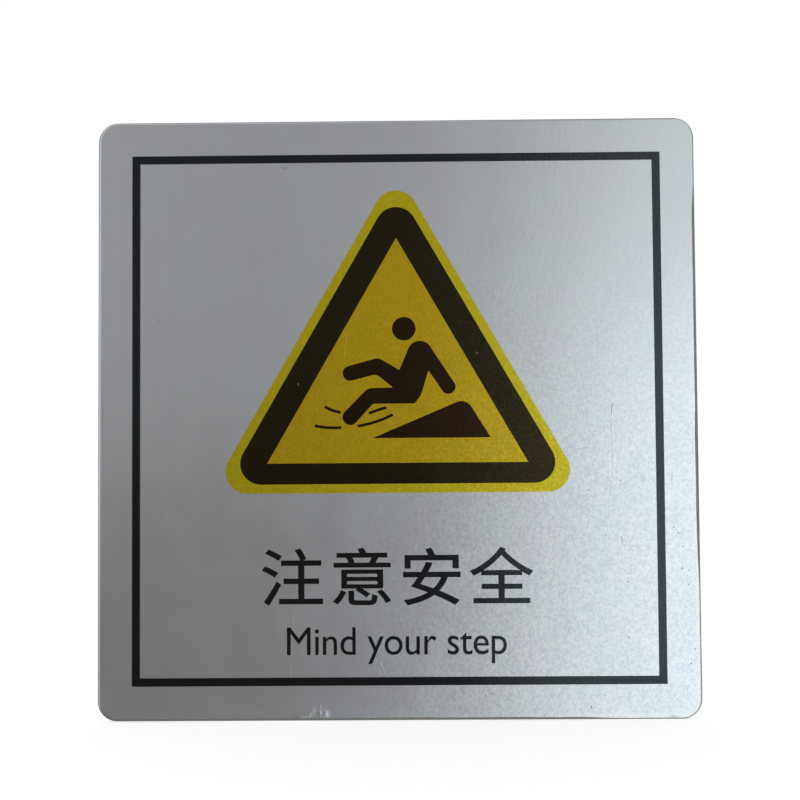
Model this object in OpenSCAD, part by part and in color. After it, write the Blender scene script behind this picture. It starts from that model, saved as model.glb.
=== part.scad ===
// Slippery floor warning sign, in millimetres.
// One sheet of satin aluminium, its front edge pressed round on all four sides, carries a
// design printed in yellow and black ink. X runs right, Z runs up and the face looks towards -Y.
// The origin is the centre of the flat back, which is fixed to a wall or a door.

/* [Plate] */
// Width of the plate
plate_w = 150; // [125:1:200]
// Height of the plate
plate_h = 150; // [125:1:200]
// Thickness of the sheet
plate_t = 1.2; // [0.8:0.1:3]
// Radius of the plate's corners, seen from the front
corner_r = 5; // [1.5:0.5:15]
// Radius of the round pressed along the front edge
edge_r = 0.6; // [0.2:0.1:0.7]

/* [Ink] */
// Thickness of one layer of ink
ink_t = 0.05; // [0.03:0.01:0.2]

/* [Border line] */
// Bare margin between the plate's edge and the border line
border_margin = 8.6; // [5:0.2:12]
// Width of the border line
border_line_w = 2.05; // [1:0.05:4]

/* [Warning triangle] */
// Side of the yellow triangle, between its corners before they are rounded
triangle_side = 94; // [84:0.5:98]
// Radius of the yellow triangle's corners
triangle_corner_r = 5.5; // [2:0.1:8]
// Bare gap between the border line and the triangle's rounded top
triangle_top_gap = 7.2; // [3:0.1:14]
// Width of the yellow rim left outside the black band
rim_w = 2.25; // [1:0.05:4]
// Radius of the black band's outer corners
band_corner_r = 5.2; // [2:0.1:8]
// Width of the black band along the two slanting sides
band_side_w = 6.5; // [4:0.1:7.5]
// Width of the black band along the base
band_base_w = 5.2; // [3:0.1:7]

/* [Pictogram] */
// Height of the pictogram, from the ramp's foot to the top of the head
pictogram_h = 30.3; // [24:0.1:32]
// Gap between the black band's base and the ramp's foot
pictogram_lift = 6.2; // [4:0.1:9]
// Radius of the head
head_r = 2.95; // [2:0.05:3.2]
// Width of each slide mark
mark_w = 0.7; // [0.4:0.05:1]

/* [Hidden] */
$fn = 96;
arc_steps = 16;

metal = [0.72, 0.73, 0.75];
black = [0.12, 0.11, 0.09];
yellow = [0.72, 0.63, 0.10];

// The ink layers: the first lies on the metal, the second on the yellow
on_metal = 0;
on_yellow = 1;

// The border line's two rectangles
border_w = plate_w - 2 * border_margin;
border_h = plate_h - 2 * border_margin;
inner_border_w = border_w - 2 * border_line_w;
inner_border_h = border_h - 2 * border_line_w;

// Each triangle is equilateral with one corner up, and is drawn from the circle that fits inside it
field_inradius = triangle_side / (2 * sqrt(3));
band_inradius = field_inradius - rim_w;
opening_inradius = band_inradius - (band_base_w + 2 * band_side_w) / 3;
field_middle = inner_border_h / 2 - triangle_top_gap - 2 * field_inradius + triangle_corner_r;
opening_base = field_middle - band_inradius + band_base_w;

// The pictogram's outlines are lists of corners, each [across, up, radius of its rounding].
// They start at the ramp's foot, on the triangle's middle line, and are drawn for this height.
drawn_h = 30.3;
unit = pictogram_h / drawn_h;
head_across = 1.8;
body_outline = [
    [0.6, 17.0, 0.2], // waist, in front
    [5.2, 27.7, 3.1], // shoulders
    [15.3, 12.2, 1.7], [12.3, 10.3, 1.7], // hand
    [7.9, 16.9, 0.1], // armpit
    [5.9, 10.4, 6], [4.3, 8.6, 0.5], // back and seat
    [-6.0, 8.6, 1], // lower knee, behind
    [-11.7, 2.5, 1.8], [-14.4, 5.3, 1.8], // lower foot
    [-7.3, 12.5, 2.6], // lower knee, in front
    [-1.0, 12.6, 0.1], // between the legs
    [-5.1, 16.0, 2], // upper knee, behind
    [-13.1, 14.0, 1.8], [-13.9, 17.6, 1.8], // upper foot
    [-4.6, 20.1, 2.4] // upper knee, in front
];
ramp_outline = [[-6.2, 0, 0], [17.2, 9.85, 3], [23.3, 0, 0.1]];
// Each slide mark: its two ends, and how far its middle bows away from the straight line
slide_marks = [
    [[-18.1, 8.0], [-14.1, 6.5], 0.25],
    [[-20.6, 3.2], [-14.0, 2.7], 0.25],
    [[-7.1, 6.15], [-2.7, 7.6], -0.1],
    [[-9.9, 3.05], [-1.1, 5.85], 0.4]
];

// Direction from one point to another, of length 1
function direction(from, to) = (to - from) / norm(to - from);

// Signed turn from angle a to angle b, the short way round
function turn(a, b) = (b - a) - 360 * round((b - a) / 360);

// Corner p of an outline, replaced by an arc of radius p.z that touches both its sides
function rounded_corner(before, p, after) =
    let (
        corner = [p.x, p.y],
        back = direction(corner, [before.x, before.y]),
        ahead = direction(corner, [after.x, after.y]),
        half = acos(back * ahead) / 2,
        middle = corner + p.z / sin(half) * direction([0, 0], back + ahead),
        first = corner + p.z / tan(half) * back - middle,
        last = corner + p.z / tan(half) * ahead - middle,
        a = atan2(first.y, first.x),
        sweep = turn(a, atan2(last.y, last.x))
    )
    p.z == 0 ? [corner] : [
        for (i = [0:arc_steps])
            let (at = a + sweep * i / arc_steps)
            middle + p.z * [cos(at), sin(at)]
    ];

// A closed outline from its corners, each rounded by its own radius
module rounded_outline(corners) {
    n = len(corners);
    polygon([
        for (i = [0:n - 1])
            each rounded_corner(corners[(i + n - 1) % n], corners[i], corners[(i + 1) % n])
    ]);
}

// An equilateral triangle with one corner up, about its own middle
module triangle(inradius, r = 0) {
    rounded_outline([for (a = [90, 210, 330]) [2 * inradius * cos(a), 2 * inradius * sin(a), r]]);
}

// A stroke of one width along an arc between two points
module arc_stroke(from, to, bow, w) {
    half_chord = norm(to - from) / 2;
    radius = (pow(half_chord, 2) + pow(bow, 2)) / (2 * abs(bow));
    along = direction(from, to);
    across = sign(bow) * [along.y, -along.x];
    middle = (from + to) / 2 + (abs(bow) - radius) * across;
    reach = asin(half_chord / radius);
    outward = atan2(across.y, across.x);
    polygon([
        for (side = [-1, 1]) for (i = [0:arc_steps])
            let (a = outward - side * reach * (1 - 2 * i / arc_steps))
            middle + (radius + side * w / 2) * [cos(a), sin(a)]
    ]);
}

// Stands a flat drawing up: its front becomes -Y
module upright() {
    rotate([90, 0, 0])
        children();
}

// A flat drawing printed on the plate's face, in one layer of ink
module ink(layer, colour) {
    color(colour)
        upright()
            translate([0, 0, plate_t + layer * ink_t])
                linear_extrude(ink_t)
                    children();
}

// Section through the plate's rim, from the line of the corners' centres out to the edge,
// with the front edge pressed round
module rim_section() {
    square([corner_r, plate_t - edge_r]);
    square([corner_r - edge_r, plate_t]);
    translate([corner_r - edge_r, plate_t - edge_r])
        circle(edge_r);
}

// The rim along one straight side
module rim_side(length) {
    rotate([90, 0, 0])
        linear_extrude(length, center = true)
            rim_section();
}

module sign_plate() {
    core_w = plate_w - 2 * corner_r;
    core_h = plate_h - 2 * corner_r;
    color(metal)
        upright() {
            translate([-core_w / 2, -core_h / 2, 0])
                cube([core_w, core_h, plate_t]);
            for (quarter = [0:90:270]) {
                facing_across = quarter % 180 == 0;
                rotate(quarter)
                    translate([(facing_across ? core_w : core_h) / 2, 0, 0])
                        rim_side(facing_across ? core_h : core_w);
                right_or_left = sign(cos(quarter + 45));
                top_or_bottom = sign(sin(quarter + 45));
                translate([right_or_left * core_w / 2, top_or_bottom * core_h / 2, 0])
                    rotate(quarter)
                        rotate_extrude(angle = 90)
                            rim_section();
            }
        }
}

module border_print() {
    ink(on_metal, black)
        difference() {
            square([border_w, border_h], center = true);
            square([inner_border_w, inner_border_h], center = true);
        }
}

module triangle_field_print() {
    ink(on_metal, yellow)
        translate([0, field_middle])
            triangle(field_inradius, triangle_corner_r);
}

module triangle_band_print() {
    ink(on_yellow, black)
        difference() {
            translate([0, field_middle])
                triangle(band_inradius, band_corner_r);
            translate([0, opening_base + opening_inradius])
                triangle(opening_inradius);
        }
}

module figure_print() {
    ink(on_yellow, black)
        translate([0, opening_base + pictogram_lift]) {
            translate([unit * head_across, pictogram_h - head_r])
                circle(head_r);
            rounded_outline(unit * body_outline);
        }
}

module ramp_print() {
    ink(on_yellow, black)
        translate([0, opening_base + pictogram_lift])
            rounded_outline(unit * ramp_outline);
}

module slide_marks_print() {
    ink(on_yellow, black)
        translate([0, opening_base + pictogram_lift])
            for (mark = slide_marks)
                arc_stroke(unit * mark[0], unit * mark[1], unit * mark[2], mark_w);
}

sign_plate();
border_print();
triangle_field_print();
triangle_band_print();
figure_print();
ramp_print();
slide_marks_print();
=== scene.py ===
"""Dresses the slippery floor warning sign: a satin aluminium plate with a printed warning.

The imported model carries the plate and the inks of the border, the triangle and the pictogram. This script
gives them their finishes, adds the printed words and the stray dots of ink, and sets the studio.
X runs right, Z runs up and the face looks towards -Y. Sizes are in metres, written as so many MM.
"""

import logging
from dataclasses import dataclass, replace
from enum import Enum
from math import radians, sqrt
from typing import Any

import bmesh
import bpy
from mathutils import Euler, Matrix, Vector
from mathutils.geometry import delaunay_2d_cdt, interpolate_bezier


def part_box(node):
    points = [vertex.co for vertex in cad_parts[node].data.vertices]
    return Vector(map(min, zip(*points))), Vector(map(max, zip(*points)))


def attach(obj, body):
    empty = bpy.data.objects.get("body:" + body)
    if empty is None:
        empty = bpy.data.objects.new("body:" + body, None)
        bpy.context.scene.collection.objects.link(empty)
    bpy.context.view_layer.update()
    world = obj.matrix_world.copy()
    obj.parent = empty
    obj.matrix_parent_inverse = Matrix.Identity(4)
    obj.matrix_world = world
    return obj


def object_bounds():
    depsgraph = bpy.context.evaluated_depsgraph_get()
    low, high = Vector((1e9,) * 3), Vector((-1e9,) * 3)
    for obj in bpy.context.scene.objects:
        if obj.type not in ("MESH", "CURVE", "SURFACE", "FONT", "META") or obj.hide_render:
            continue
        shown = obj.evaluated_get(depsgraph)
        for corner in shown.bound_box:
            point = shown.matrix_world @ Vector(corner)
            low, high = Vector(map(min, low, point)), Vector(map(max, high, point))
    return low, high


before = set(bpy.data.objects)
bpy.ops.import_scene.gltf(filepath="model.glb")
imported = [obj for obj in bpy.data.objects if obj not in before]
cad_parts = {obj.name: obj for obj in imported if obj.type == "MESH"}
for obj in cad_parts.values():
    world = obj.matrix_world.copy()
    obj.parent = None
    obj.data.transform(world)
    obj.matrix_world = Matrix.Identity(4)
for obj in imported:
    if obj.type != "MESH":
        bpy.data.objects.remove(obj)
CAD_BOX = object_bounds()

MM = 0.001
BODY = "root"
LOG = logging.getLogger("warning_sign")

Pair = tuple[float, float]
Triple = tuple[float, float, float]
Colour = Triple
Socket = bpy.types.NodeSocket


def rgba(colour: Colour) -> tuple[float, float, float, float]:
    """The colour with full opacity."""
    return (*colour, 1.0)


def on_plate(x: float, z: float) -> Vector:
    """A place on the plate's face, in millimetres from its centre, as a point at depth zero."""
    return Vector((x * MM, 0.0, z * MM))


class Recipe:
    """A node tree for a material, a world or a scatter, written one node at a time.

    A noise's values lie about MIDDLE, nearly all of them within BULK and most of them within CORE.
    """

    MIDDLE: float = 0.5
    BULK: Pair = (0.3, 0.7)
    CORE: Pair = (0.35, 0.65)
    ROUGHNESS: float = 0.6

    def __init__(self, tree: bpy.types.NodeTree) -> None:
        """Empties the tree.

        Args:
            tree: the tree that the nodes go into.
        """
        self.tree = tree
        self.tree.nodes.clear()

    def node(self, kind: str, inputs: dict[Any, Any] | None = None, **settings: Any) -> bpy.types.Node:
        """Adds a node.

        Args:
            kind: the node's type name.
            inputs: what each input takes, by name or number: a socket to link or a plain value.
            **settings: the node's own settings.

        Returns:
            The new node.
        """
        made = self.tree.nodes.new(kind)
        for key, value in settings.items():
            setattr(made, key, value)
        for key, value in (inputs or {}).items():
            if isinstance(value, Socket):
                self.tree.links.new(value, made.inputs[key])
            else:
                made.inputs[key].default_value = value
        return made

    def place(self) -> Socket:
        """Object coordinates."""
        return self.node("ShaderNodeTexCoord").outputs["Object"]

    def parts(self, vector: Socket) -> tuple[Socket, Socket, Socket]:
        """The vector's X, Y and Z."""
        split = self.node("ShaderNodeSeparateXYZ", {0: vector})
        return split.outputs[0], split.outputs[1], split.outputs[2]

    def math(self, operation: str, a: Socket | float, b: Socket | float = 0.0) -> Socket:
        """One sum on two numbers."""
        return self.node("ShaderNodeMath", {0: a, 1: b}, operation=operation).outputs[0]

    def times(self, a: Socket | float, b: Socket | float) -> Socket:
        """The product of two numbers."""
        return self.math("MULTIPLY", a, b)

    def minus(self, a: Socket | float, b: Socket | float) -> Socket:
        """The first number less the second."""
        return self.math("SUBTRACT", a, b)

    def vectors(self, operation: str, a: Any, b: Any, result: str = "Vector") -> Socket:
        """One sum on two vectors."""
        return self.node("ShaderNodeVectorMath", {0: a, 1: b}, operation=operation).outputs[result]

    def fade(
        self,
        value: Socket,
        start: float,
        end: float,
        low: float = 0.0,
        high: float = 1.0,
        smooth: bool = True,
    ) -> Socket:
        """Maps a value onto a range, held at both ends.

        Args:
            value: what is mapped.
            start: the value that gives low.
            end: the value that gives high.
            low: the result at and before start.
            high: the result at and past end.
            smooth: eases in and out, in place of a straight ramp.

        Returns:
            The mapped value.
        """
        kind = "SMOOTHSTEP" if smooth else "LINEAR"
        inputs = {"Value": value, "From Min": start, "From Max": end, "To Min": low, "To Max": high}
        return self.node("ShaderNodeMapRange", inputs, interpolation_type=kind, clamp=True).outputs[0]

    def swing(self, noise: Socket, by: float, about: float = 0.0, span: Pair = BULK) -> Socket:
        """Maps a noise straight onto a small range.

        Args:
            noise: the noise.
            by: how far it swings each way.
            about: the middle of the range.
            span: the noise's values that give the ends of the range.

        Returns:
            The mapped noise.
        """
        return self.fade(noise, *span, about - by, about + by, smooth=False)

    def mix(self, factor: Socket | float, a: Socket | Colour, b: Socket | Colour) -> Socket:
        """Blends two colours.

        Args:
            factor: the share of the second.
            a: the first colour.
            b: the second.

        Returns:
            The blend.
        """
        made = self.node("ShaderNodeMix", {"Factor": factor}, data_type="RGBA")
        for key, value in ((6, a), (7, b)):
            if isinstance(value, Socket):
                self.tree.links.new(value, made.inputs[key])
            else:
                made.inputs[key].default_value = rgba(value)
        return made.outputs[2]

    def noise(
        self, vector: Socket, size: float, detail: float = 2.0, stretch: Triple = (1, 1, 1)
    ) -> Socket:
        """Cloudy noise.

        Args:
            vector: the coordinates.
            size: how far apart its blots are, in metres.
            detail: how many finer layers it has.
            stretch: how many times longer its blots are along X, Y and Z.

        Returns:
            A number about 0.5.
        """
        scale = tuple(1 / (size * s) for s in stretch)
        mapped = self.node("ShaderNodeMapping", {"Vector": vector, "Scale": scale}).outputs[0]
        inputs = {"Vector": mapped, "Scale": 1.0, "Detail": detail, "Roughness": self.ROUGHNESS}
        return self.node("ShaderNodeTexNoise", inputs).outputs[0]

    def near_line(self, vector: Socket, start: Vector, end: Vector, width: float) -> Socket:
        """How close the surface is to a straight line on the face.

        Args:
            vector: the coordinates, with Y left at zero.
            start: the line's first end.
            end: its other end.
            width: its whole width, over which it fades.

        Returns:
            1 on the line, 0 beyond half its width.
        """
        span = end - start
        away = self.vectors("SUBTRACT", vector, start)
        along = self.vectors("DOT_PRODUCT", away, span / span.length_squared, "Value")
        foot = self.scaled(span, self.node("ShaderNodeClamp", {"Value": along}).outputs[0])
        length = self.vectors("DISTANCE", away, foot, "Value")
        return self.fade(length, 0.0, width / 2, 1.0, 0.0)

    def near_spot(self, vector: Socket, centre: Vector, radii: Vector) -> Socket:
        """How close the surface is to an oval on the face.

        Args:
            vector: the coordinates, with Y left at zero.
            centre: the oval's middle.
            radii: its radii along X and Z.

        Returns:
            1 in the middle, 0 beyond the oval.
        """
        away = self.vectors("SUBTRACT", vector, centre)
        shares = self.vectors("MULTIPLY", away, (1 / radii.x, 0.0, 1 / radii.z))
        return self.fade(self.vectors("LENGTH", shares, (0, 0, 0), "Value"), 0.0, 1.0, 1.0, 0.0)

    def flat(self, vector: Socket) -> Socket:
        """The coordinates with the depth taken out, so that a mark keeps to its place on the face."""
        return self.vectors("MULTIPLY", vector, (1, 0, 1))

    def scaled(self, colour: Socket | Colour | Vector, factor: Socket) -> Socket:
        """The colour or vector times a factor."""
        return self.node("ShaderNodeVectorMath", {0: colour, "Scale": factor}, operation="SCALE").outputs[0]

    def bumped(self, height: Socket, relief: float) -> Socket:
        """The normal of a surface with this height, counted in steps of the relief."""
        inputs = {"Strength": 1.0, "Distance": relief, "Height": height}
        return self.node("ShaderNodeBump", inputs).outputs[0]

    def add_up(self, terms: list[Socket]) -> Socket:
        """Adds several numbers.

        Args:
            terms: the numbers.

        Returns:
            Their sum.
        """
        total = terms[0]
        for term in terms[1:]:
            total = self.math("ADD", total, term)
        return total


def surface(recipe: Recipe, inputs: dict[str, Any]) -> None:
    """Ends a material in one Principled shader.

    Args:
        recipe: the material's tree.
        inputs: what each of the shader's sockets takes.
    """
    shader = recipe.node("ShaderNodeBsdfPrincipled", inputs)
    recipe.node("ShaderNodeOutputMaterial", {"Surface": shader.outputs[0]})


def new_material(name: str, colour: Colour) -> tuple[bpy.types.Material, Recipe]:
    """A new material with an empty tree.

    Args:
        name: the finish's name.
        colour: what a plain viewport shows.

    Returns:
        The material and the recipe for its tree.
    """
    material = bpy.data.materials.new(name)
    material.use_nodes = True
    material.diffuse_color = rgba(colour)
    return material, Recipe(material.node_tree)


@dataclass(frozen=True)
class Scratch:
    """A hairline on the face, its ends in millimetres from the plate's centre."""

    start: Pair
    end: Pair
    width: float = 0.45 * MM
    lift: float = 1.0

    def mask(self, recipe: Recipe, place: Socket) -> Socket:
        """Where the hairline shows, times its lift."""
        line = recipe.near_line(place, on_plate(*self.start), on_plate(*self.end), self.width)
        return recipe.times(line, self.lift)


@dataclass(frozen=True)
class Spot:
    """An oval mark on the face, its centre and radii in millimetres from the plate's centre."""

    centre: Pair
    radii: Pair

    def mask(self, recipe: Recipe, place: Socket) -> Socket:
        """Where the spot shows."""
        return recipe.near_spot(place, on_plate(*self.centre), on_plate(*self.radii))


@dataclass(frozen=True)
class GrainAndGlint:
    """The sheet's speckled grain, under the inks too; its rise from left to low right is painted glint."""

    size: float = 0.74 * MM
    left: float = -28 * MM
    right: float = 38 * MM
    top: float = 56 * MM
    foot: float = -20 * MM

    def amount(self, recipe: Recipe, place: Socket, smooth: float, coarse: float) -> Socket:
        """How strong the grain is, with its painted glint.

        Args:
            recipe: the material's tree.
            place: the coordinates.
            smooth: its strength on the left.
            coarse: its strength low on the right.

        Returns:
            The strength at each place.
        """
        across, _, up = recipe.parts(place)
        # painted glint: the grain grows to the right and downwards, where the light falls
        rightward = recipe.fade(across, self.left, self.right, 0.0, coarse - smooth)
        downward = recipe.fade(up, self.top, self.foot)
        return recipe.math("ADD", smooth, recipe.times(rightward, downward))

    def speckle(self, recipe: Recipe, place: Socket, smooth: float, coarse: float) -> Socket:
        """The light and dark speckles, partly painted glint.

        Args:
            recipe: the material's tree.
            place: the coordinates.
            smooth: their strength on the left.
            coarse: their strength low on the right.

        Returns:
            A factor about 1 for the colour.
        """
        swing = recipe.minus(recipe.noise(place, self.size, detail=3.0), recipe.MIDDLE)
        amount = self.amount(recipe, place, smooth, coarse)
        return recipe.math("ADD", 1.0, recipe.times(swing, amount))


@dataclass(frozen=True)
class Outline:
    """The plate's face and outline, as its finish reads them.

    Its fields are the depth of the face along Y, the radius of the round along the front edge, half of
    the plate's width and height, and the radius of its corners.
    """

    face: float
    edge_round: float
    half: float
    corner: float

    def inset(self, r: Recipe, across: Socket, up: Socket) -> Socket:
        """How far a place on the face lies inside the plate's outline.

        Args:
            r: the material's tree.
            across: the place along X.
            up: the place along Z.

        Returns:
            The distance, or the corners' radius wherever it is more than that.
        """
        straight = self.half - self.corner
        past = [r.minus(r.math("ABSOLUTE", side), straight) for side in (across, up)]
        squares = [r.math("POWER", r.math("MAXIMUM", side, 0.0), 2.0) for side in past]
        reach = r.math("SQRT", r.add_up(squares))
        return r.minus(self.corner, reach)


@dataclass(frozen=True)
class Survey:
    """What the metal's finish reads at each place: where it is, and the noises that its methods share."""

    outline: Outline
    place: Socket
    across: Socket
    depth: Socket
    up: Socket
    inset: Socket
    patch: Socket
    pebble: Socket
    streak: Socket


@dataclass(frozen=True)
class ShearedEdge:
    """The dark, matte line along the plate's edge, and the painted highlight line inside it.

    The dark line and the round of the edge are matte cut metal from the shearing, and partly painted dark
    reflection. The line is at least its least width. Patches widen it anywhere, and it is wider still on
    the right side, between side_foot and side_head, and along the foot as far as foot_until; that extra
    width is painted dark reflection.
    """

    # dark colour of the edge line: matte cut metal, partly painted dark reflection
    colour: Colour = (0.33, 0.32, 0.30)
    roughness: float = 0.55
    least: float = 0.26 * MM
    patches: float = 0.45 * MM
    # painted dark reflection: the edge line widens on the right side and along the foot
    side: float = 0.58 * MM
    side_foot: float = -38 * MM
    side_head: float = 55 * MM
    side_ease: float = 8 * MM
    foot: float = 0.48 * MM
    foot_until: float = 62 * MM
    foot_full: float = 42 * MM
    full_at: float = 0.15
    blur: float = 0.08 * MM
    turned_from: float = 0.06
    turned_full: float = 0.17
    # painted highlight line: how far inside the outline it sits and how fast it fades
    highlight_at: float = 0.95 * MM
    highlight_core: float = 0.12 * MM
    highlight_reach: float = 0.34 * MM

    def width(self, r: Recipe, at: Survey) -> Socket:
        """How wide the dull line is.

        Args:
            r: the material's tree.
            at: what is read at each place.

        Returns:
            The width at each place.
        """
        start = at.outline.half - at.outline.corner
        full = at.outline.half - self.full_at * at.outline.corner
        stretch = r.times(
            r.fade(at.up, self.side_foot - self.side_ease, self.side_foot + self.side_ease),
            r.fade(at.up, self.side_head + self.side_ease, self.side_head - self.side_ease),
        )
        side = r.times(r.fade(at.across, start, full), stretch)
        foot = r.times(r.fade(at.up, -start, -full), r.fade(at.across, self.foot_until, self.foot_full))
        widths = [r.times(side, self.side), r.times(foot, self.foot), r.times(at.patch, self.patches)]
        return r.math("MAXIMUM", r.add_up(widths), self.least)

    # matte cut metal, partly painted dark reflection: the dark line and the round of the edge
    def dull_and_shaded(self, r: Recipe, at: Survey) -> Socket:
        """Where the metal is matte and partly painted dark.

        Args:
            r: the material's tree.
            at: what is read at each place.

        Returns:
            1 on the line and round the plate's edge, 0 elsewhere.
        """
        start = at.outline.face + self.turned_from * at.outline.edge_round
        full = at.outline.face + self.turned_full * at.outline.edge_round
        line = r.fade(r.minus(self.width(r, at), at.inset), -self.blur, self.blur)
        return r.math("MAXIMUM", r.fade(at.depth, start, full), line)

    # painted highlight: a light line painted just inside the plate's edge
    def bright(self, r: Recipe, inset: Socket) -> Socket:
        """Where the painted highlight line shows."""
        away = r.math("ABSOLUTE", r.minus(inset, self.highlight_at))
        return r.fade(away, self.highlight_core, self.highlight_reach, 1.0, 0.0)


@dataclass(frozen=True)
class BrushedBack:
    """The plate's plain back, brushed upright, in a skin at depth zero."""

    colour: Colour = (0.78, 0.785, 0.79)
    roughness: float = 0.42
    skin: float = 0.06 * MM
    skin_full: float = 0.02 * MM
    hair: float = 0.28 * MM
    stretch: Triple = (1.0, 1.0, 40.0)
    hair_shade: float = 0.05
    patch_shade: float = 0.02

    def mask(self, r: Recipe, depth: Socket) -> Socket:
        """Where a place is on the back."""
        return r.fade(depth, -self.skin, -self.skin_full)

    def brushing(self, r: Recipe, place: Socket) -> Socket:
        """The noise of the brushed lines."""
        return r.noise(place, self.hair, detail=3.0, stretch=self.stretch)

    def shaded(self, r: Recipe, brushing: Socket, patch: Socket) -> Socket:
        """The colour with its brushed lines and slow patches."""
        shade = r.math("ADD", r.swing(brushing, self.hair_shade, 1.0), r.swing(patch, self.patch_shade))
        return r.scaled(self.colour, shade)


@dataclass(frozen=True)
class SatinAluminium:
    """Satin rolled aluminium with a fine pebbled grain, sheared and pressed round at its edge.

    Each width is in metres, and each stretch says how much longer a noise is along X, Y and Z. A shade
    is how far a noise makes the colour lighter or darker, and a height is in steps of the relief. The
    speckle and the painted rim highlight's strength are given for the left and for low on the right;
    their rise towards the lower right is painted glint and highlight.
    """

    colour: Colour = (0.871, 0.918, 0.976)
    cool_patch: Colour = (0.856, 0.932, 0.970)
    # painted highlight: the light colour of the line just inside the edge
    rim_colour: Colour = (0.98, 0.99, 1.0)
    smudge_colour: Colour = (0.60, 0.53, 0.46)
    roughness: float = 0.22
    roughness_swing: float = 0.01
    edge: ShearedEdge = ShearedEdge()
    back: BrushedBack = BrushedBack()
    # grain and speckle: the speckle's rise to the lower right is painted glint
    grain: GrainAndGlint = GrainAndGlint()
    speckle: Pair = (0.01, 0.64)
    # painted highlight's strength: none on the left, strongest low on the right
    rim_highlight_strength: Pair = (0.0, 0.8)
    pebble: float = 0.55 * MM
    pebble_stretch: Triple = (1.0, 1.0, 1.25)
    lump: float = 1.5 * MM
    lump_stretch: Triple = (1.0, 1.0, 1.2)
    lump_height: float = 1.4
    streak: float = 0.28 * MM
    streak_stretch: Triple = (1.0, 1.0, 60.0)
    streak_shade: float = 0.004
    streak_height: float = 0.12
    band: float = 1.3 * MM
    band_stretch: Triple = (1.0, 1.0, 150.0)
    band_shade: float = 0.016
    band_span: Pair = (-40 * MM, -65 * MM)
    patch: float = 14 * MM
    blotch: float = 2.4 * MM
    blotch_share: float = 0.25
    hue_span: Pair = (0.40, 0.60)
    relief: float = 0.006 * MM
    lean: float = 6.0
    lean_from: float = 0.95 * MM
    lean_to: float = 0.50 * MM
    lean_full_at: float = 0.2
    scratches: tuple[Scratch, ...] = (
        Scratch((-26.3, -47.0), (-26.35, -54.5), lift=1.1),
        Scratch((-26.9, -61.0), (-26.95, -64.2), lift=1.3),
        Scratch((-19.7, -71.4), (-19.75, -74.3), width=1.0 * MM, lift=2.6),
        Scratch((-18.3, -72.9), (-17.9, -74.3), width=0.9 * MM, lift=1.3),
        Scratch((-4.6, -60.8), (-3.4, -63.9), lift=0.9),
        Scratch((53.5, 1.2), (53.8, -13.4), width=0.4 * MM, lift=0.8),
        Scratch((53.8, -13.4), (51.6, -33.0), width=0.4 * MM, lift=0.6),
        Scratch((60.9, 18.2), (60.9, 15.9), width=0.5 * MM, lift=0.7),
    )
    nicks: tuple[Scratch, ...] = (
        Scratch((53.9, 3.0), (53.45, 2.4), width=0.45 * MM, lift=0.7),
        Scratch((53.45, 2.6), (53.5, 0.8), width=0.45 * MM),
        Scratch((68.3, -14.0), (68.2, -16.0), width=0.5 * MM, lift=0.7),
        Scratch((55.4, -30.0), (55.8, -31.5), width=0.5 * MM, lift=0.8),
    )
    nick_share: float = 0.75
    dents: tuple[Spot, ...] = (
        Spot((-22.4, -72.9), (3.4, 2.0)),
        Spot((-24.6, -74.2), (2.6, 1.6)),
        Spot((-19.2, -73.3), (2.4, 1.7)),
    )
    dent_height: float = 22.0
    dimple: float = 2.2 * MM
    dimple_stretch: Triple = (1.0, 1.0, 1.4)
    smudges: tuple[Spot, ...] = (Spot((68.0, -74.4), (1.6, 0.7)),)
    smudge_share: float = 0.7

    def tone(self, r: Recipe, at: Survey, dull_and_shaded: Socket) -> Socket:
        """The face's colour before its grain.

        Args:
            r: the material's tree.
            at: what is read at each place.
            dull_and_shaded: where the metal is matte and partly painted dark.

        Returns:
            The metal's colour with its painted highlight line, smudges, nicks and partly painted dark edge.
        """
        on_face = r.flat(at.place)
        blotch = r.minus(r.noise(at.place, self.blotch), r.MIDDLE)
        hue = r.math("ADD", at.patch, r.times(blotch, self.blotch_share))
        colour = r.mix(r.fade(hue, *self.hue_span), self.colour, self.cool_patch)
        # painted highlight: the light rim colour, mixed in where the light falls low on the right
        lit = r.times(self.edge.bright(r, at.inset), self.grain.amount(r, at.place, *self.rim_highlight_strength))
        colour = r.mix(lit, colour, self.rim_colour)
        smudge = r.add_up([spot.mask(r, on_face) for spot in self.smudges])
        colour = r.mix(r.times(smudge, self.smudge_share), colour, self.smudge_colour)
        nicked = r.add_up([nick.mask(r, on_face) for nick in self.nicks])
        colour = r.mix(r.times(nicked, self.nick_share), colour, self.edge.colour)
        # matte edge line, partly painted dark reflection
        return r.mix(dull_and_shaded, colour, self.edge.colour)

    def shade(self, r: Recipe, at: Survey) -> Socket:
        """A factor about 1 for the face's grain, with its painted glint, and upright streaks.

        Args:
            r: the material's tree.
            at: what is read at each place.

        Returns:
            The factor at each place.
        """
        band = r.noise(at.place, self.band, detail=1.0, stretch=self.band_stretch)
        return r.add_up([
            self.grain.speckle(r, at.place, *self.speckle),
            r.swing(at.streak, self.streak_shade),
            r.times(r.swing(band, self.band_shade), r.fade(at.across, *self.band_span)),
        ])

    def leaning(self, r: Recipe, at: Survey) -> Socket:
        """How far the left edge falls away.

        Args:
            r: the material's tree.
            at: what is read at each place.

        Returns:
            0 on the flat face, growing outwards from lean_from, to 1 at lean_to and on past it.
        """
        past = r.math("DIVIDE", r.minus(self.lean_from, at.inset), self.lean_from - self.lean_to)
        half, corner = at.outline.half, at.outline.corner
        left = r.fade(at.across, corner - half, self.lean_full_at * corner - half)
        return r.times(r.math("MAXIMUM", past, 0.0), left)

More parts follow.
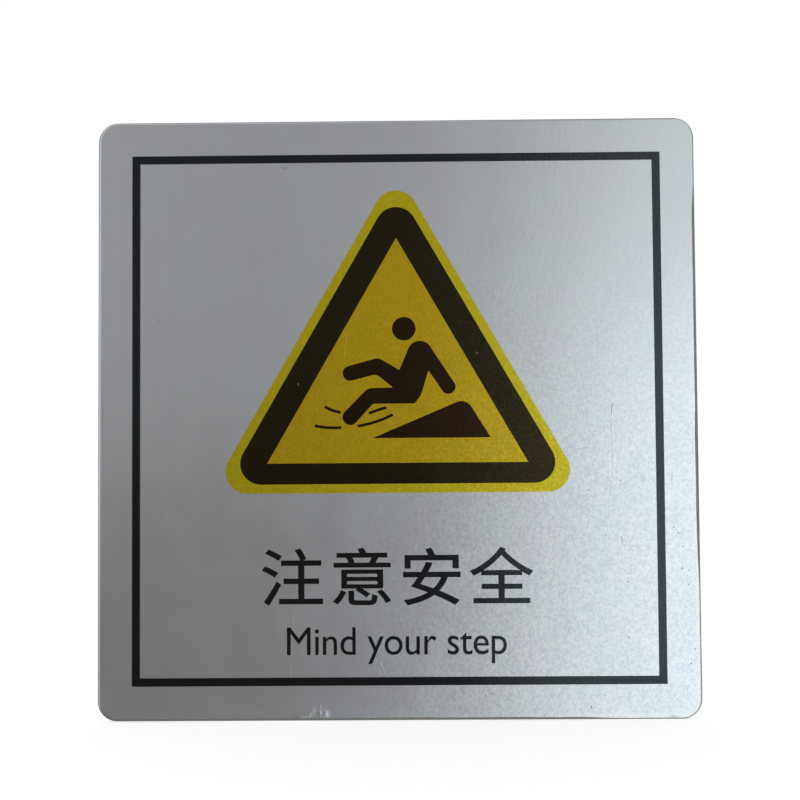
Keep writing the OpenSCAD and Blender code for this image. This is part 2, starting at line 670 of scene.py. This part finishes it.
    def height(self, r: Recipe, at: Survey) -> Socket:
        """The face's height, in steps of the relief.

        Args:
            r: the material's tree.
            at: what is read at each place.

        Returns:
            The height at each place.
        """
        on_face = r.flat(at.place)
        lump = r.noise(at.place, self.lump, stretch=self.lump_stretch)
        dimple = r.noise(at.place, self.dimple, stretch=self.dimple_stretch)
        dented = r.add_up([spot.mask(r, on_face) for spot in self.dents])
        return r.add_up([
            at.pebble,
            r.times(lump, self.lump_height),
            r.times(at.streak, self.streak_height),
            r.add_up([scratch.mask(r, on_face) for scratch in self.scratches]),
            r.times(r.times(dented, dimple), self.dent_height),
            r.times(r.math("POWER", self.leaning(r, at), 2.0), -self.lean),
        ])

    def make(self, outline: Outline) -> bpy.types.Material:
        """Builds the material.

        Args:
            outline: the plate's face and outline.

        Returns:
            The finish of the whole plate.
        """
        material, r = new_material("satin_aluminium", self.colour)
        place = r.place()
        across, depth, up = r.parts(place)
        at = Survey(
            outline,
            place,
            across,
            depth,
            up,
            inset=outline.inset(r, across, up),
            patch=r.noise(place, self.patch),
            pebble=r.noise(place, self.pebble, detail=3.0, stretch=self.pebble_stretch),
            streak=r.noise(place, self.streak, stretch=self.streak_stretch),
        )
        dull_and_shaded = self.edge.dull_and_shaded(r, at)
        back = self.back.mask(r, depth)
        front = r.minus(1.0, back)
        brushing = self.back.brushing(r, place)
        face = r.scaled(self.tone(r, at, dull_and_shaded), self.shade(r, at))
        colour = r.mix(back, face, self.back.shaded(r, brushing, at.patch))
        roughness = r.add_up([
            r.swing(at.pebble, self.roughness_swing, self.roughness),
            r.swing(at.patch, self.roughness_swing, span=r.CORE),
            r.times(r.times(dull_and_shaded, front), self.edge.roughness - self.roughness),
            r.times(back, self.back.roughness - self.roughness),
        ])
        height = r.math("ADD", r.times(self.height(r, at), front), r.times(brushing, back))
        normal = r.bumped(height, self.relief)
        surface(r, {"Base Color": colour, "Metallic": 1.0, "Roughness": roughness, "Normal": normal})
        return material


@dataclass(frozen=True)
class YellowInk:
    """Translucent yellow ink over metal, purer on the rim than inside the black band.

    It turns paler to the right, where pale_yellow takes over by up to paler_share. The slope is the
    direction square to the triangle's right side.
    """

    colour: Colour = (0.722, 0.500, 0.016)
    rim_colour: Colour = (0.748, 0.638, 0.020)
    rim_blur: float = 0.5 * MM
    pale_yellow: Colour = (1.0, 0.86, 0.10)
    worn_share: float = 0.20
    worn_height: float = -1.5
    paler_span: Pair = (0.0, 42 * MM)
    paler_share: float = 0.24
    metallic: float = 0.88
    specular: float = 0.5
    roughness: float = 0.28
    roughness_swing: float = 0.04
    # grain and speckle: the speckle's rise to the lower right is painted glint
    grain: GrainAndGlint = GrainAndGlint(size=0.7 * MM)
    speckle: Pair = (0.15, 1.2)
    pebble: float = 0.8 * MM
    cloud: float = 6 * MM
    cloud_stretch: Triple = (1.0, 1.0, 1.6)
    cloud_shade: float = 0.03
    relief: float = 0.006 * MM
    slope: Pair = (sqrt(3) / 2, 0.5)
    scratches: tuple[Scratch, ...] = (
        Scratch((-12.3, 20.9), (-13.1, 14.8), width=0.6 * MM),
        Scratch((-11.1, 26.0), (-11.6, 21.6), width=0.5 * MM, lift=0.5),
    )

    def outwards(self, r: Recipe, across: Socket, rise: Socket) -> Socket:
        """How far a place lies from the triangle's middle, square to its nearest side.

        Args:
            r: the material's tree.
            across: the place along X.
            rise: its height above the triangle's middle.

        Returns:
            The distance, which is the same all along an equilateral triangle about that middle.
        """
        sideways = r.times(r.math("ABSOLUTE", across), self.slope[0])
        slant = r.math("ADD", sideways, r.times(rise, self.slope[1]))
        return r.math("MAXIMUM", slant, r.times(rise, -1.0))

    def make(self, middle: float, band: float) -> bpy.types.Material:
        """Builds the material.

        Args:
            middle: the height of the triangle's middle.
            band: how far the middle of the black band's width is from it.

        Returns:
            The finish of the yellow field.
        """
        material, r = new_material("yellow_ink", self.colour)
        place = r.place()
        across, _, up = r.parts(place)
        pebble = r.noise(place, self.pebble, detail=3.0)
        cloud = r.noise(place, self.cloud, detail=3.0, stretch=self.cloud_stretch)
        out = self.outwards(r, across, r.minus(up, middle))
        rim = r.fade(out, band - self.rim_blur, band + self.rim_blur)
        colour = r.mix(rim, self.colour, self.rim_colour)
        worn = r.add_up([scratch.mask(r, r.flat(place)) for scratch in self.scratches])
        # paler towards the right; the scratches take the pale yellow too
        paler_rightwards = r.fade(across, *self.paler_span, 0.0, self.paler_share)
        pale = r.math("ADD", paler_rightwards, r.times(worn, self.worn_share))
        colour = r.mix(pale, colour, self.pale_yellow)
        speckle = self.grain.speckle(r, place, *self.speckle)
        shade = r.math("ADD", speckle, r.swing(cloud, self.cloud_shade))
        height = r.math("ADD", pebble, r.times(worn, self.worn_height))
        surface(r, {
            "Base Color": r.scaled(colour, shade),
            "Metallic": self.metallic,
            "Roughness": r.swing(pebble, self.roughness_swing, self.roughness),
            "Normal": r.bumped(height, self.relief),
            "Specular IOR Level": self.specular,
        })
        return material


class Print(Enum):
    """Which of the black prints an ink is for."""

    METAL = "metal"
    BAND = "band"
    PICTOGRAM = "pictogram"


@dataclass(frozen=True)
class BlackInk:
    """Satin black ink, cool on the bare metal and warm over the yellow.

    Pale dusty specks lie in its pebbles. Their share is also painted sheen: it grows to the right and
    thins at the plate's foot. The mottle is how softly the specks begin and end, and a pinhole lets some
    of what is underneath through.
    """

    use: Print
    colour: Colour
    pale: Colour
    sheen: Colour
    gloss: float
    roughness: float = 0.12
    roughness_swing: float = 0.02
    mottle: float = 0.3
    # painted sheen: the share of pale colour grows to the right and thins at the foot
    painted_sheen_span: Pair = (-5 * MM, 50 * MM)
    least_painted_sheen: float = 0.05
    foot_span: Pair = (-64.4 * MM, -60 * MM)
    foot_painted_sheen: float = 0.2
    pebble: float = 0.6 * MM
    cloud: float = 7 * MM
    relief: float = 0.006 * MM
    pinholes: tuple[Spot, ...] = ()
    hole_colour: Colour = (0.24, 0.23, 0.20)

    def dust_and_sheen(self, r: Recipe, place: Socket, pebble: Socket) -> Socket:
        """How much of the pale dusty specks and painted sheen there is.

        Args:
            r: the material's tree.
            place: the coordinates.
            pebble: the noise of the pebbles.

        Returns:
            The share of the pale colour at each place.
        """
        across, _, up = r.parts(place)
        # painted sheen: more pale colour to the right, less at the plate's foot
        painted_sheen_reach = r.times(
            r.fade(across, *self.painted_sheen_span, self.least_painted_sheen, 1.0),
            r.fade(up, *self.foot_span, self.foot_painted_sheen, 1.0),
        )
        return r.times(r.fade(pebble, r.MIDDLE - self.mottle, r.MIDDLE + self.mottle), painted_sheen_reach)

    def make(self) -> bpy.types.Material:
        """Builds the material.

        Returns:
            The finish of a black print.
        """
        material, r = new_material(f"black_ink_{self.use.value}", self.colour)
        place = r.place()
        pebble = r.noise(place, self.pebble, detail=3.0)
        cloud = r.noise(place, self.cloud)
        colour = r.mix(self.dust_and_sheen(r, place, pebble), self.colour, self.pale)
        if self.pinholes:
            hole = r.add_up([spot.mask(r, r.flat(place)) for spot in self.pinholes])
            colour = r.mix(hole, colour, self.hole_colour)
        roughness = r.math(
            "ADD",
            r.swing(pebble, self.roughness_swing, self.roughness),
            r.swing(cloud, self.roughness_swing, span=r.CORE),
        )
        surface(r, {
            "Base Color": colour,
            "Metallic": 0.0,
            "Roughness": roughness,
            "Normal": r.bumped(pebble, self.relief),
            "Specular IOR Level": self.gloss,
            "Specular Tint": rgba(self.sheen),
        })
        return material


METAL_BLACK = BlackInk(
    use=Print.METAL,
    colour=(0.0004, 0.0006, 0.0009),
    pale=(0.034, 0.043, 0.050),
    sheen=(0.74, 0.90, 1.0),
    gloss=0.68,
)
BAND_BLACK = BlackInk(
    use=Print.BAND,
    colour=(0.0008, 0.0004, 0.0001),
    pale=(0.023, 0.022, 0.013),
    sheen=(1.0, 0.79, 0.40),
    gloss=0.53,
    roughness=0.18,
    mottle=0.15,
    pinholes=(Spot((19.98, 15.99), (0.32, 0.45)), Spot((-24.7, 8.5), (0.3, 0.45))),
)
PICTOGRAM_BLACK = replace(
    BAND_BLACK,
    use=Print.PICTOGRAM,
    pale=(0.028, 0.015, 0.009),
    sheen=(1.0, 0.64, 0.34),
    pinholes=(),
)


def dress(node: str, material: bpy.types.Material) -> None:
    """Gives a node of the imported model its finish.

    Args:
        node: the node's name.
        material: its finish.
    """
    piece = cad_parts[node]
    if piece.material_slots:
        for held in piece.material_slots:
            held.material = material
    else:
        piece.data.materials.append(material)
    LOG.info("dressed %s in %s", node, material.name)


def add_piece(name: str, mesh: bpy.types.Mesh) -> bpy.types.Object:
    """Puts a finished mesh on the sign.

    Args:
        name: the piece's name.
        mesh: its mesh, in its final place.

    Returns:
        The piece, riding with the plate.
    """
    piece = bpy.data.objects.new(name, mesh)
    bpy.context.scene.collection.objects.link(piece)
    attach(piece, BODY)
    LOG.info("added %s, %d faces", name, len(mesh.polygons))
    return piece


@dataclass(frozen=True)
class Line:
    """One line of printed words and the box that its ink fills on the face, in metres."""

    words: str
    left: float
    right: float
    bottom: float
    top: float
    spacing: float = 1.0
    weight: float = 0.0


@dataclass
class Plate:
    """The aluminium sheet and its border line."""

    finish: SatinAluminium = SatinAluminium()
    edge_round: float = 0.6 * MM
    corner: float = 5 * MM
    ink: float = 0.05 * MM

    def face(self) -> float:
        """The depth of the bare face along Y."""
        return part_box("sign_plate")[0].y

    def build(self, black: bpy.types.Material) -> None:
        """Dresses the sheet and the border line.

        Args:
            black: the border line's ink.
        """
        outline = Outline(self.face(), self.edge_round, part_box("sign_plate")[1].x, self.corner)
        dress("sign_plate", self.finish.make(outline))
        dress("border_print", black)


@dataclass
class WarningTriangle:
    """The yellow field, the black band and the pictogram."""

    finish: YellowInk = YellowInk()
    band_corner: float = 5.2 * MM
    half_band: float = 2.5 * MM
    pictogram: tuple[str, ...] = ("figure_print", "ramp_print", "slide_marks_print")

    def build(self) -> None:
        """Dresses the four black prints and the yellow under them."""
        low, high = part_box("triangle_band_print")
        inradius = (high.z - low.z + self.band_corner) / 3
        middle = low.z + inradius
        dress("triangle_field_print", self.finish.make(middle, inradius - self.half_band))
        dress("triangle_band_print", BAND_BLACK.make())
        black = PICTOGRAM_BLACK.make()
        for node in self.pictogram:
            dress(node, black)


@dataclass
class Lettering:
    """The printed words under the triangle, as a layer of ink on the metal.

    A line's weight, the least gap between two points of an outline and the weld are in the typeface's
    own unit, which is about a letter's height.
    """

    plate: Plate
    black: bpy.types.Material
    lines: tuple[Line, ...] = (
        Line("注意安全", -34.0 * MM, 33.6 * MM, -46.7 * MM, -32.3 * MM, spacing=1.14, weight=0.009),
        Line("Mind your step", -27.8 * MM, 26.8 * MM, -61.1 * MM, -52.0 * MM, spacing=0.98, weight=0.002),
    )
    curve_steps: int = 7
    least_gap: float = 1e-4
    sharpest: float = 0.5
    weld: float = 1e-6

    def outlines(self, line: Line) -> list[list[Vector]]:
        """Traces the outlines of a line's letters.

        Args:
            line: the words.

        Returns:
            Closed runs of flat points, moved outwards by the line's weight.
        """
        words = bpy.data.curves.new("words", "FONT")
        words.body = line.words
        words.space_character = line.spacing
        holder = bpy.data.objects.new("words", words)
        bpy.context.scene.collection.objects.link(holder)
        graph = bpy.context.evaluated_depsgraph_get()
        runs = []
        for spline in holder.evaluated_get(graph).to_curve(graph).splines:
            knots = spline.bezier_points
            run = []
            for a, b in zip(knots, [*knots[1:], knots[0]]):
                run += interpolate_bezier(a.co, a.handle_right, b.handle_left, b.co, self.curve_steps)[:-1]
            runs.append(self.thickened([point.to_2d() for point in run], line.weight))
        bpy.data.objects.remove(holder)
        bpy.data.curves.remove(words)
        return runs

    def thickened(self, run: list[Vector], weight: float) -> list[Vector]:
        """Moves an outline outwards, without the points that follow on too closely.

        Args:
            run: the outline's points.
            weight: how far they move.

        Returns:
            The moved points.
        """
        spaced = [point for i, point in enumerate(run) if (point - run[i - 1]).length > self.least_gap]
        moved = []
        for i, point in enumerate(spaced):
            before = (point - spaced[i - 1]).normalized()
            after = (spaced[(i + 1) % len(spaced)] - point).normalized()
            mean = before + after
            corner = max(mean.length / 2, self.sharpest)
            moved.append(point + Vector((mean.y, -mean.x)).normalized() * weight / corner)
        return moved

    def inside(self, point: Vector, runs: list[list[Vector]]) -> bool:
        """Whether outlines turn round a point.

        Args:
            point: the point.
            runs: the outlines.

        Returns:
            True where a letter is filled.
        """
        turns = 0
        for run in runs:
            for a, b in zip(run, [*run[1:], run[0]]):
                if (a.y <= point.y) != (b.y <= point.y) and ((b - a).cross(point - a) > 0) == (b.y > a.y):
                    turns += 1 if b.y > a.y else -1
        return turns != 0

    def filled(self, line: Line, letters: bmesh.types.BMesh) -> None:
        """Fills a line's outlines and fits them to the line's box on the plate's face.

        Args:
            line: the words and their box.
            letters: the mesh that the faces go into.
        """
        runs = self.outlines(line)
        edges = []
        for run in runs:
            first = len(edges)
            edges += [(first + i, first + (i + 1) % len(run)) for i in range(len(run))]
        given = [point for run in runs for point in run]
        points, _, triangles, *_ = delaunay_2d_cdt(given, edges, [], 0, self.weld)
        kept = [t for t in triangles if self.inside((points[t[0]] + points[t[1]] + points[t[2]]) / 3, runs)]
        low = Vector((min(point.x for point in points), min(point.y for point in points)))
        high = Vector((max(point.x for point in points), max(point.y for point in points)))
        across = (line.right - line.left) / (high.x - low.x)
        up = (line.top - line.bottom) / (high.y - low.y)
        corners = {}
        for i in {i for triangle in kept for i in triangle}:
            x = line.left + (points[i].x - low.x) * across
            z = line.bottom + (points[i].y - low.y) * up
            corners[i] = letters.verts.new((x, self.plate.face(), z))
        for triangle in kept:
            letters.faces.new([corners[i] for i in triangle])

    def build(self) -> None:
        """Raises both lines to the thickness of a layer of ink, as one piece."""
        letters = bmesh.new()
        for line in self.lines:
            self.filled(line, letters)
        raised = bmesh.ops.extrude_face_region(letters, geom=letters.faces[:])
        tops = [part for part in raised["geom"] if isinstance(part, bmesh.types.BMVert)]
        bmesh.ops.translate(letters, verts=tops, vec=(0, -self.plate.ink, 0))
        bmesh.ops.recalc_face_normals(letters, faces=letters.faces)
        mesh = bpy.data.meshes.new("lettering")
        letters.to_mesh(mesh)
        letters.free()
        mesh.materials.append(self.black)
        add_piece("lettering", mesh)


@dataclass(frozen=True)
class Patch:
    """A stretch of bare metal, in millimetres from the plate's centre, and how many dots fall on it."""

    left: float
    bottom: float
    right: float
    top: float
    count: int

    def corners(self) -> list[Triple]:
        """The patch's corners.

        Returns:
            Four points in metres, laid flat with the plate's height along Y.
        """
        across = (self.left, self.right, self.right, self.left)
        up = (self.bottom, self.bottom, self.top, self.top)
        return [(x * MM, z * MM, 0.0) for x, z in zip(across, up)]

    def per_area(self) -> float:
        """Dots for each square metre."""
        return self.count / ((self.right - self.left) * (self.top - self.bottom) * MM * MM)


@dataclass
class StrayDots:
    """Tiny dots of black ink that strayed onto the bare metal, scattered by a node tree."""

    plate: Plate
    black: bpy.types.Material
    spots: tuple[Pair, ...] = (
        (71.9, -41.9), (70.5, -37.9), (-59.7, 24.9), (-27.8, 63.0), (57.0, -54.9), (68.5, -27.7),
        (57.0, -41.2), (73.4, -57.8), (72.3, -61.4), (21.4, -69.1), (72.1, -38.4), (69.6, -29.2),
    )
    patches: tuple[Patch, ...] = (
        Patch(68.2, -64.0, 73.6, -20.0, count=2),
        Patch(10.0, -73.0, 66.0, -68.5, count=3),
        Patch(40.0, -62.0, 62.0, -16.0, count=3),
    )
    radius: float = 0.15 * MM
    smallest: float = 0.6
    largest: float = 1.3
    thickness: float = 0.03 * MM
    sides: int = 12
    seed: int = 11
    share: str = "dots_per_area"

    def tree(self) -> bpy.types.NodeTree:
        """Builds the tree that puts flat discs on loose points and scatters more over the faces.

        Returns:
            The tree, with inputs for the disc's radius and thickness, the seed and the material.
        """
        tree = bpy.data.node_groups.new("scatter_dots", "GeometryNodeTree")
        kinds = {
            "Geometry": "Geometry", "Radius": "Float", "Thickness": "Float", "Seed": "Int",
            "Material": "Material",
        }
        for name, kind in kinds.items():
            tree.interface.new_socket(name, in_out="INPUT", socket_type=f"NodeSocket{kind}")
        tree.interface.new_socket("Geometry", in_out="OUTPUT", socket_type="NodeSocketGeometry")
        r = Recipe(tree)
        given = r.node("NodeGroupInput").outputs
        share = r.node("GeometryNodeInputNamedAttribute", {"Name": self.share}, data_type="FLOAT")
        points = r.node(
            "GeometryNodeDistributePointsOnFaces",
            {"Mesh": given["Geometry"], "Density": share.outputs[0], "Seed": given["Seed"]},
        )
        touching = r.node("GeometryNodeInputMeshVertexNeighbors").outputs["Face Count"]
        loose = r.node("FunctionNodeCompare", {2: touching, 3: 0}, data_type="INT", operation="EQUAL")
        chosen = r.node(
            "GeometryNodeMeshToPoints",
            {"Mesh": given["Geometry"], "Selection": loose.outputs[0]},
            mode="VERTICES",
        )
        every = r.node("GeometryNodeJoinGeometry", {"Geometry": points.outputs[0]})
        tree.links.new(chosen.outputs[0], every.inputs[0])
        disc = r.node(
            "GeometryNodeMeshCylinder",
            {"Vertices": self.sides, "Radius": given["Radius"], "Depth": given["Thickness"]},
        )
        size = r.node(
            "FunctionNodeRandomValue",
            {2: self.smallest, 3: self.largest, "Seed": given["Seed"]},
            data_type="FLOAT",
        ).outputs[1]
        spread = r.node("ShaderNodeCombineXYZ", {0: size, 1: size, 2: 1.0}).outputs[0]
        placed = r.node(
            "GeometryNodeInstanceOnPoints",
            {"Points": every.outputs[0], "Instance": disc.outputs[0], "Scale": spread},
        )
        real = r.node("GeometryNodeRealizeInstances", {"Geometry": placed.outputs[0]})
        dressed = r.node(
            "GeometryNodeSetMaterial", {"Geometry": real.outputs[0], "Material": given["Material"]}
        )
        r.node("NodeGroupOutput", {"Geometry": dressed.outputs[0]})
        return tree

    def build(self) -> None:
        """Scatters the dots, turns the result into a plain mesh and stands it on the plate's face."""
        ground = bpy.data.meshes.new("bare_metal")
        corners = [corner for patch in self.patches for corner in patch.corners()]
        faces = [tuple(range(4 * i, 4 * i + 4)) for i in range(len(self.patches))]
        ground.from_pydata(corners + [(x * MM, z * MM, 0.0) for x, z in self.spots], [], faces)
        share = ground.attributes.new(self.share, "FLOAT", "FACE")
        share.data.foreach_set("value", [patch.per_area() for patch in self.patches])
        holder = bpy.data.objects.new("bare_metal", ground)
        bpy.context.scene.collection.objects.link(holder)
        tree = self.tree()
        scatter = holder.modifiers.new("scatter", "NODES")
        scatter.node_group = tree
        values = {
            "Radius": self.radius, "Thickness": self.thickness, "Seed": self.seed, "Material": self.black
        }
        for socket in tree.interface.items_tree:
            if socket.in_out == "INPUT" and socket.name in values:
                scatter[socket.identifier] = values[socket.name]
        mesh = bpy.data.meshes.new_from_object(holder.evaluated_get(bpy.context.evaluated_depsgraph_get()))
        bpy.data.objects.remove(holder)
        mesh.transform(Matrix.Rotation(radians(90), 4, "X"))
        mesh.transform(Matrix.Translation((0.0, self.plate.face() - self.thickness / 2, 0.0)))
        mesh.name = "stray_dots"
        add_piece("stray_dots", mesh)


@dataclass(frozen=True)
class Lamp:
    """A soft rectangular lamp."""

    name: str
    place: Triple
    width: float
    height: float
    power: float
    tint: Colour = (1.0, 1.0, 1.0)


@dataclass(frozen=True)
class Room:
    """What the metal mirrors: dim in front on the left, bright in front on the right, grey elsewhere.

    A span says where one colour changes into another, counted along a direction of length 1. The two
    slopes tip the edges of the low part and of the bright side.
    """

    wall_left: Colour = (0.414, 0.397, 0.392)
    wall_right: Colour = (0.284, 0.271, 0.269)
    wall_span: Pair = (-0.40, -0.12)
    low: Colour = (0.167, 0.152, 0.150)
    low_span: Pair = (-0.034, 0.076)
    low_slope: float = -0.12
    sides: Colour = (0.62, 0.62, 0.62)
    left_span: Pair = (-0.85, -0.45)
    glow_left: Colour = (0.975, 1.0, 1.005)
    glow_right: Colour = (0.985, 1.05, 1.08)
    glow_span: Pair = (0.15, 0.20)
    glow_high: Colour = (0.640, 0.650, 0.642)
    high_span: Pair = (-0.07, 0.27)
    far_right: Colour = (0.50, 0.51, 0.52)
    right_span: Pair = (0.34, 0.75)
    front_span: Pair = (0.033, 0.146)
    front_slope: float = -0.11
    behind_low: Colour = (0.40, 0.40, 0.41)
    behind_high: Colour = (0.88, 0.89, 0.90)
    behind_span: Pair = (-0.35, 0.5)
    sides_span: Pair = (0.05, 0.5)
    away_span: Pair = (-0.62, -0.30)

    def dim(self, r: Recipe, x: Socket, z: Socket) -> Socket:
        """The colour in front on the left.

        Args:
            r: the world's tree.
            x: the direction along X.
            z: the direction along Z.

        Returns:
            The colour in each direction.
        """
        wall = r.mix(r.fade(x, *self.wall_span), self.wall_left, self.wall_right)
        tipped = r.math("ADD", z, r.times(x, self.low_slope))
        dim = r.mix(r.fade(tipped, *self.low_span), self.low, wall)
        return r.mix(r.fade(x, *self.left_span), self.sides, dim)

    def bright(self, r: Recipe, x: Socket, z: Socket) -> Socket:
        """The colour in front on the right.

        Args:
            r: the world's tree.
            x: the direction along X.
            z: the direction along Z.

        Returns:
            The colour in each direction.
        """
        glow = r.mix(r.fade(x, *self.glow_span), self.glow_left, self.glow_right)
        bright = r.mix(r.fade(z, *self.high_span), glow, self.glow_high)
        return r.mix(r.fade(x, *self.right_span), bright, self.far_right)

    def colour(self, r: Recipe, way: Socket) -> Socket:
        """The room's colour.

        Args:
            r: the world's tree.
            way: the direction.

        Returns:
            The colour in each direction.
        """
        x, y, z = r.parts(way)
        tipped = r.math("ADD", x, r.times(z, self.front_slope))
        front = r.mix(r.fade(tipped, *self.front_span), self.dim(r, x, z), self.bright(r, x, z))
        behind = r.mix(r.fade(z, *self.behind_span), self.behind_low, self.behind_high)
        beside = r.mix(r.fade(y, *self.sides_span), self.sides, behind)
        return r.mix(r.fade(y, *self.away_span), front, beside)


@dataclass
class Studio:
    """The pale floor, the room that the metal mirrors, the lamps and the camera.

    The aim is in degrees, and the focal length in pixels of a picture that is so many pixels wide.
    """

    eye: Triple = (4.84 * MM, -350.83 * MM, -11.12 * MM)
    aim: Triple = (92.537, 0.413, 0.693)
    picture: float = 800
    focal: float = 1400
    sensor: float = 36.0
    nearest: float = 5 * MM
    room: Room = Room()
    floor_side: float = 6.0
    floor_speck: float = 3 * MM
    floor_dark: Colour = (0.80, 0.80, 0.80)
    floor_light: Colour = (0.82, 0.82, 0.82)
    white: Colour = (1.0, 1.0, 1.0)
    fill: Colour = (0.60, 0.60, 0.60)
    lift: float = 0.54
    lamps: tuple[Lamp, ...] = (
        Lamp("key", (0.42, -0.90, 0.03), width=0.50, height=0.19, power=0.04, tint=(0.93, 0.98, 1.0)),
        Lamp("top", (-0.25, -0.55, 0.85), width=0.6, height=0.6, power=0.3),
        Lamp("rim", (-1.0, -0.25, 0.2), width=0.5, height=0.5, power=0.15),
    )

    def build_camera(self) -> None:
        """Sets the camera where the photograph was taken from."""
        lens = bpy.data.cameras.new("camera")
        lens.sensor_width = self.sensor
        lens.lens = self.focal / self.picture * self.sensor
        lens.clip_start = self.nearest
        camera = bpy.data.objects.new("camera", lens)
        camera.location = self.eye
        camera.rotation_euler = Euler([radians(turn) for turn in self.aim])
        bpy.context.scene.collection.objects.link(camera)
        bpy.context.scene.camera = camera

    def build_world(self) -> None:
        """White to the eye, the room to the metal, and an even fill to everything else."""
        world = bpy.data.worlds.new("studio")
        world.use_nodes = True
        bpy.context.scene.world = world
        r = Recipe(world.node_tree)
        way = r.node("ShaderNodeTexCoord").outputs["Generated"]
        path = r.node("ShaderNodeLightPath")
        lit = r.mix(path.outputs["Is Glossy Ray"], self.fill, self.room.colour(r, way))
        seen = r.math("MAXIMUM", path.outputs["Is Camera Ray"], path.outputs["Is Transmission Ray"])
        colour = r.mix(seen, lit, self.white)
        background = r.node("ShaderNodeBackground", {"Color": colour, "Strength": 1.0})
        r.node("ShaderNodeOutputWorld", {"Surface": background.outputs[0]})

    def build_floor(self) -> None:
        """Lays a pale floor at the plate's lower edge, lifted to white for the eye."""
        half = self.floor_side / 2
        bottom = CAD_BOX[0].z
        mesh = bpy.data.meshes.new("floor")
        sides = ((-half, -half), (half, -half), (half, half), (-half, half))
        mesh.from_pydata([(x, y, bottom) for x, y in sides], [], [(0, 1, 2, 3)])
        floor = bpy.data.objects.new("floor", mesh)
        bpy.context.scene.collection.objects.link(floor)
        material, r = new_material("pale_floor", self.white)
        speck = r.noise(r.place(), self.floor_speck)
        colour = r.mix(speck, self.floor_dark, self.floor_light)
        diffuse = r.node("ShaderNodeBsdfDiffuse", {"Color": colour})
        path = r.node("ShaderNodeLightPath")
        lift = r.times(path.outputs["Is Camera Ray"], self.lift)
        glow = r.node("ShaderNodeEmission", {"Color": rgba(self.white), "Strength": lift})
        both = r.node("ShaderNodeAddShader", {0: diffuse.outputs[0], 1: glow.outputs[0]})
        r.node("ShaderNodeOutputMaterial", {"Surface": both.outputs[0]})
        mesh.materials.append(material)
        floor.visible_glossy = False

    def build_lamp(self, lamp: Lamp) -> None:
        """Hangs a soft lamp that faces the plate's middle.

        Args:
            lamp: its place, size and power.
        """
        light = bpy.data.lights.new(lamp.name, "AREA")
        light.shape = "RECTANGLE"
        light.size = lamp.width
        light.size_y = lamp.height
        light.energy = lamp.power
        light.color = lamp.tint
        holder = bpy.data.objects.new(lamp.name, light)
        holder.location = lamp.place
        holder.rotation_euler = (-Vector(lamp.place)).to_track_quat("-Z", "Y").to_euler()
        holder.visible_camera = False
        bpy.context.scene.collection.objects.link(holder)

    def build(self) -> None:
        """Builds the camera, the world, the floor and the lamps."""
        self.build_camera()
        self.build_world()
        self.build_floor()
        for lamp in self.lamps:
            self.build_lamp(lamp)
        bpy.context.scene.view_settings.view_transform = "Standard"
        LOG.info("studio is set")


def main() -> None:
    """Builds the sign and its studio."""
    logging.basicConfig(level=logging.INFO, format="%(message)s")
    black = METAL_BLACK.make()
    plate = Plate()
    plate.build(black)
    WarningTriangle().build()
    Lettering(plate, black).build()
    StrayDots(plate, black).build()
    Studio().build()


if __name__ == "__main__":
    main()
